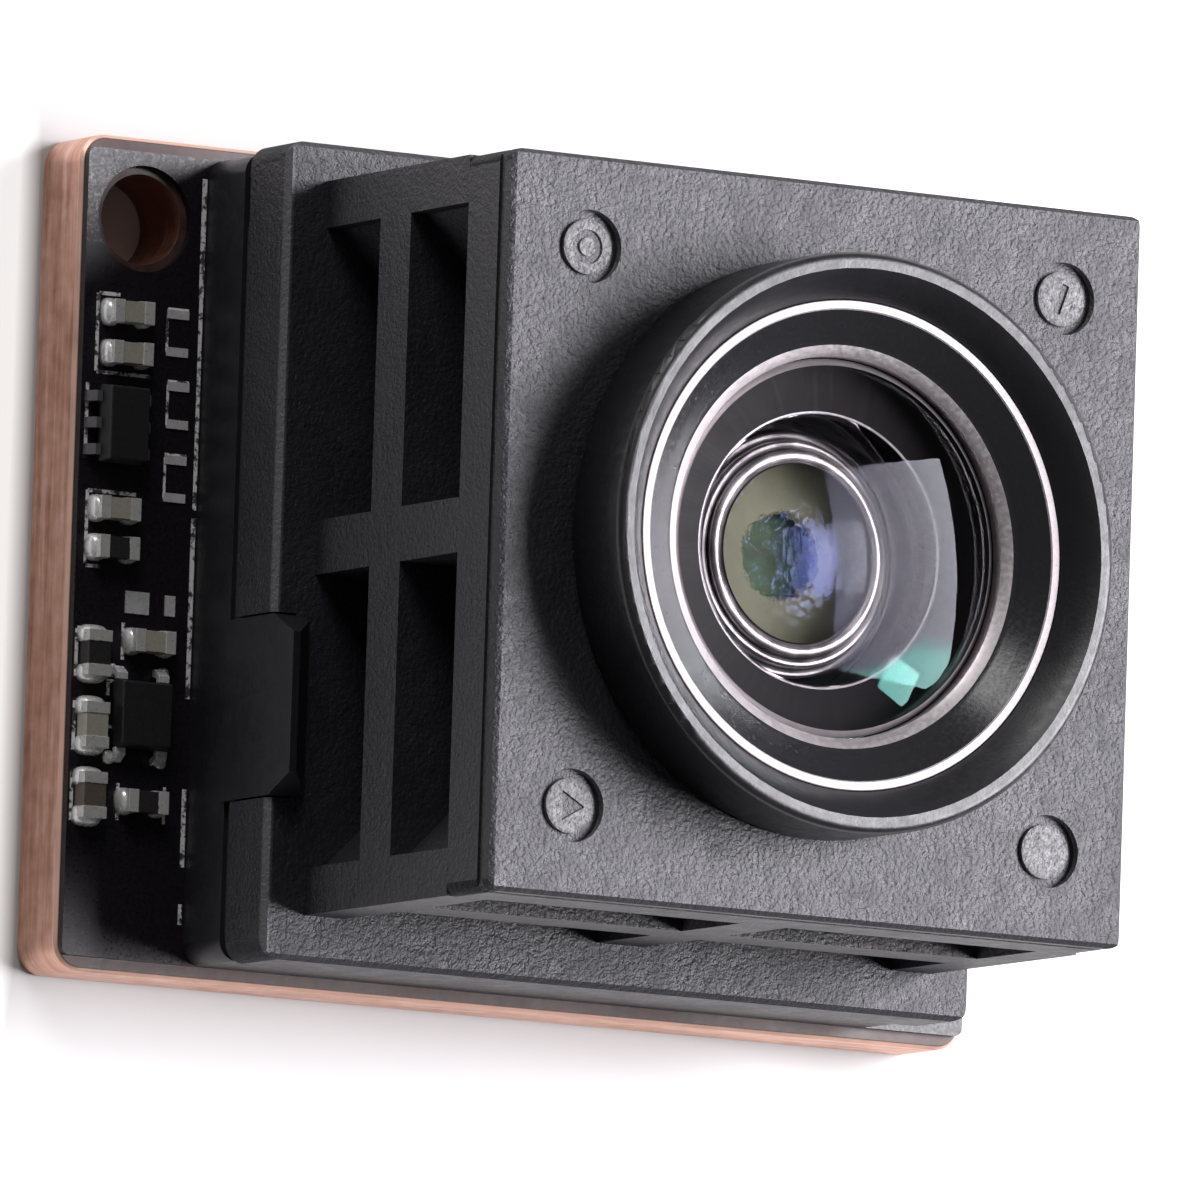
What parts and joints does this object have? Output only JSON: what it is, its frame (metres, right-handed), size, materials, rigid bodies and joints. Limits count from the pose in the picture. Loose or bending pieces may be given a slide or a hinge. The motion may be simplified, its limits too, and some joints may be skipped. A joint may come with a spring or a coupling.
{
  "type": "camera module",
  "caption": "Compact board camera: threaded lens in a ribbed square holder on a copper-backed circuit board with a fixing hole.",
  "frame": {"origin": "middle of the base plate's back face, which is the bottom centre of the whole part", "axes": "+Z along the lens axis, out of the lens; +X along the board's long side, away from the chips; +Y towards the edge that has the fixing hole"},
  "size_m": [0.026, 0.0204, 0.0169],
  "materials": {
    "copper": "bare rolled copper, satin, slightly tarnished",
    "board_mask": "black solder mask, satin",
    "solder": "bright tin",
    "frame_plastic": "black moulded plastic, satin",
    "holder_plastic": "dark grey moulded plastic with a fine spark-eroded grain",
    "gasket_foam": "matt closed-cell foam",
    "screw_steel": "black-zinc steel",
    "barrel_black": "black anodised, satin",
    "ring_metal": "black anodised with bright turned edges",
    "lens_glass": "polished, coated",
    "stop_black": "matt black",
    "filter_glass": "coated plane glass",
    "sensor_ceramic": "ceramic package",
    "silicon": "polished silicon",
    "connector_plastic": "beige moulded plastic",
    "gold_contact": "gold plated",
    "chip_ceramic": "beige ceramic with tinned ends",
    "chip_plastic": "black moulding compound"
  },
  "bodies": {
    "root": {"copper_base_plate": "copper", "circuit_board": "board_mask", "solder_pads": "solder", "rear_frame": "frame_plastic", "corner_screws": "screw_steel", "sealing_gasket": "gasket_foam", "lens_holder": "holder_plastic", "lens_barrel": "barrel_black", "front_ring": "ring_metal", "front_element": "lens_glass", "front_spacer": "ring_metal", "second_element": "lens_glass", "aperture_stop": "stop_black", "third_element": "lens_glass", "rear_spacer": "stop_black", "rear_element": "lens_glass", "rear_ring": "barrel_black", "infrared_filter": "filter_glass", "sensor_package": "sensor_ceramic", "sensor_die": "silicon", "sensor_cover_glass": "filter_glass", "board_connector": "connector_plastic", "connector_contacts": "gold_contact", "regulator_package": "chip_plastic", "regulator_leads": "solder", "driver_package": "chip_plastic", "driver_leads": "solder", "chip_capacitor_1": "chip_ceramic", "chip_capacitor_2": "chip_ceramic", "chip_capacitor_3": "chip_ceramic", "chip_capacitor_4": "chip_ceramic", "chip_capacitor_5": "chip_ceramic", "chip_capacitor_6": "chip_ceramic", "chip_capacitor_7": "chip_ceramic", "chip_capacitor_8": "chip_ceramic", "chip_capacitor_9": "chip_ceramic"}
  },
  "joints": []
}
